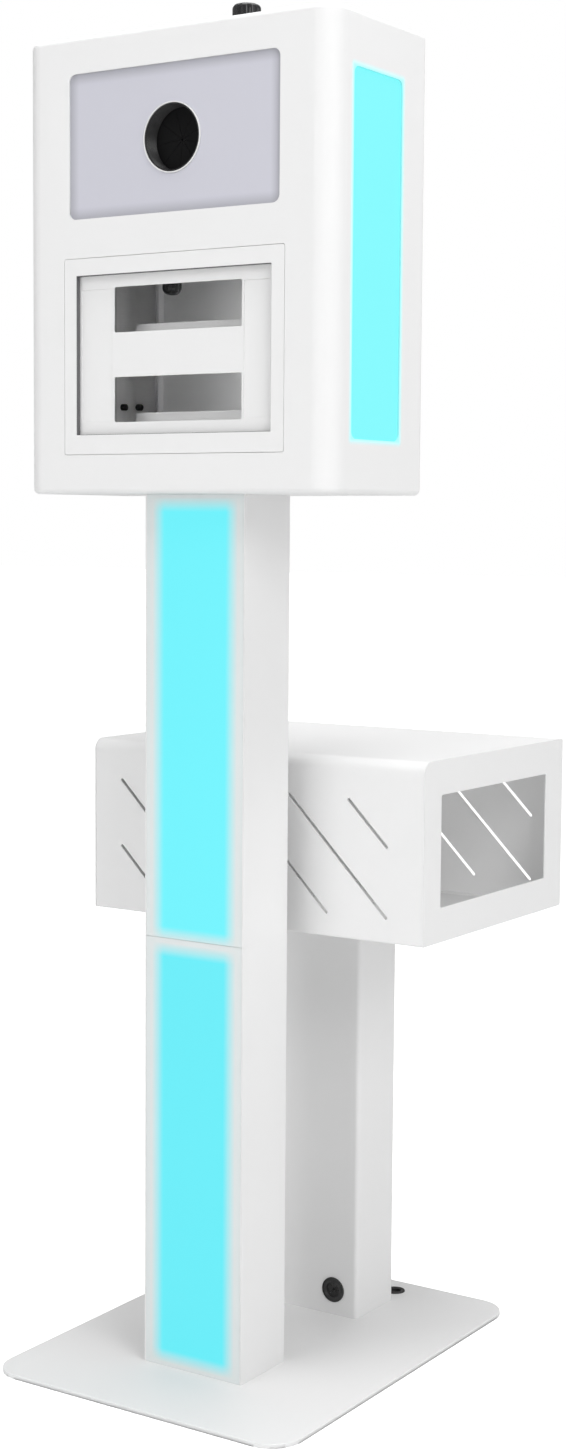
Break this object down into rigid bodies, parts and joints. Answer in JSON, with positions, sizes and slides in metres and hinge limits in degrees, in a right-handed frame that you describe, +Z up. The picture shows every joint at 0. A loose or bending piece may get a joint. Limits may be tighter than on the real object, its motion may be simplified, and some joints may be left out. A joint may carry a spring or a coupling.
{
  "type": "photo kiosk",
  "caption": "Floor-standing photo kiosk: a lit head with a lens port and tablet recess on a glowing light column, with a slotted printer box on a rear post.",
  "frame": {"origin": "on the floor, under the axis of the light column", "axes": "+Z up, -Y towards the user in front, +X to the user's right"},
  "size_m": [0.5385, 0.6798, 1.774],
  "materials": {
    "white_paint": "smooth satin powder coat",
    "inner_paint": "satin powder coat",
    "opal_acrylic": "translucent opal",
    "led_board": "white solder mask with soldered lamps",
    "zinc": "zinc plated",
    "bracket_steel": "zinc plated folded steel",
    "black_plastic": "fine grained",
    "black_gloss": "polished",
    "black_metal": "black anodised",
    "bare_aluminium": "satin",
    "black_rubber": "matte",
    "white_rubber": "matte",
    "chrome": "polished"
  },
  "bodies": {
    "stand": {"accessory_trays": "white_paint", "base_cable_grommet": "black_rubber", "base_plate": "white_paint", "base_plate_screws": "zinc", "bezel_magnets": "chrome", "bracket_bolts": "zinc", "cable_clips": "black_plastic", "column_joint_sleeve": "bracket_steel", "column_led_boards": "led_board", "foot_brackets": "bracket_steel", "front_led_board": "led_board", "front_light_diffuser": "opal_acrylic", "front_light_tray": "inner_paint", "head_brackets": "bracket_steel", "head_shell": "white_paint", "hinge_fixed_leaves": "zinc", "hinge_pins": "zinc", "led_power_supply": "bare_aluminium", "left_light_diffuser": "opal_acrylic", "lens_ring": "white_rubber", "lens_tube": "black_metal", "lower_column": "white_paint", "lower_column_diffuser": "opal_acrylic", "post_cable_grommet": "black_rubber", "power_inlet": "black_plastic", "power_inlet_screws": "zinc", "printer_box_end_panel": "white_paint", "printer_box_shell": "white_paint", "printer_door_keeper": "bracket_steel", "printer_mat": "white_rubber", "rear_post": "white_paint", "right_light_diffuser": "opal_acrylic", "shelf_hangers": "inner_paint", "side_led_boards": "led_board", "side_light_trays": "inner_paint", "tablet_pan": "white_paint", "upper_column": "white_paint", "upper_column_diffuser": "opal_acrylic", "wall_screws": "zinc"},
    "power_rocker": {"power_rocker": "black_gloss"},
    "rear_door": {"rear_door": "white_paint", "rear_door_hinge_moving_leaves": "zinc", "rear_door_lock_housing": "chrome"},
    "rear_door_lock": {"rear_door_lock_cam": "zinc"},
    "tablet_bezel": {"tablet_bezel": "white_paint"},
    "camera_shelf": {"camera_shelf": "inner_paint", "ball_head_screw": "zinc"},
    "left_shelf_knob": {"left_shelf_knob": "black_plastic"},
    "right_shelf_knob": {"right_shelf_knob": "black_plastic"},
    "ball_head": {"ball_head_housing": "black_metal"},
    "camera_platform": {"ball_head_ball": "bare_aluminium", "camera_pad": "black_rubber", "camera_screw": "zinc"},
    "ball_head_knob": {"ball_head_knob": "black_plastic"},
    "top_knob": {"top_knob": "black_gloss"},
    "printer_door": {"printer_door": "white_paint", "printer_door_hinge_moving_leaves": "zinc", "printer_door_lock_housing": "chrome"},
    "printer_door_lock": {"printer_door_lock_cam": "zinc"}
  },
  "joints": [
    {"name": "power_rocker_tilt", "type": "hinge", "parent": "stand", "child": "power_rocker", "pos_m": [-0.0135, 0.053, 0.084], "axis": [1, 0, 0], "range_deg": [-14, 0]},
    {"name": "rear_door_swing", "type": "hinge", "parent": "stand", "child": "rear_door", "pos_m": [-0.18, 0.1253, 1.46], "axis": [0, 0, 1], "range_deg": [0, 110]},
    {"name": "rear_door_lock_turn", "type": "hinge", "parent": "rear_door", "child": "rear_door_lock", "pos_m": [0.16, 0.1215, 1.46], "axis": [0, -1, 0], "range_deg": [0, 90]},
    {"name": "tablet_bezel_pull", "type": "slide", "parent": "stand", "child": "tablet_bezel", "axis": [0, -1, 0], "range_m": [0, 0.04]},
    {"name": "camera_shelf_slide", "type": "slide", "parent": "stand", "child": "camera_shelf", "axis": [0, 1, 0], "range_m": [-0.02, 0.02]},
    {"name": "left_shelf_knob_turn", "type": "hinge", "parent": "camera_shelf", "child": "left_shelf_knob", "pos_m": [-0.075, 0, 1.4548], "axis": [0, 0, 1], "continuous": true},
    {"name": "right_shelf_knob_turn", "type": "hinge", "parent": "camera_shelf", "child": "right_shelf_knob", "pos_m": [0.075, 0, 1.4548], "axis": [0, 0, 1], "continuous": true},
    {"name": "ball_head_turn", "type": "hinge", "parent": "camera_shelf", "child": "ball_head", "pos_m": [0, 0.025, 1.4608], "axis": [0, 0, 1], "continuous": true},
    {"name": "camera_platform_tilt", "type": "hinge", "parent": "ball_head", "child": "camera_platform", "pos_m": [0, 0.025, 1.4988], "axis": [1, 0, 0], "range_deg": [-35, 35]},
    {"name": "ball_head_knob_turn", "type": "hinge", "parent": "ball_head", "child": "ball_head_knob", "pos_m": [0.0213, 0.025, 1.4898], "axis": [1, 0, 0], "continuous": true},
    {"name": "top_knob_turn", "type": "hinge", "parent": "stand", "child": "top_knob", "pos_m": [0.075, -0.05, 1.7503], "axis": [0, 0, 1], "continuous": true},
    {"name": "printer_door_swing", "type": "hinge", "parent": "stand", "child": "printer_door", "pos_m": [-0.267, 0.4848, 0.7085], "axis": [0, 0, -1], "range_deg": [0, 110]},
    {"name": "printer_door_lock_turn", "type": "hinge", "parent": "printer_door", "child": "printer_door_lock", "pos_m": [-0.268, 0.116, 0.7085], "axis": [-1, 0, 0], "range_deg": [0, 90]}
  ]
}
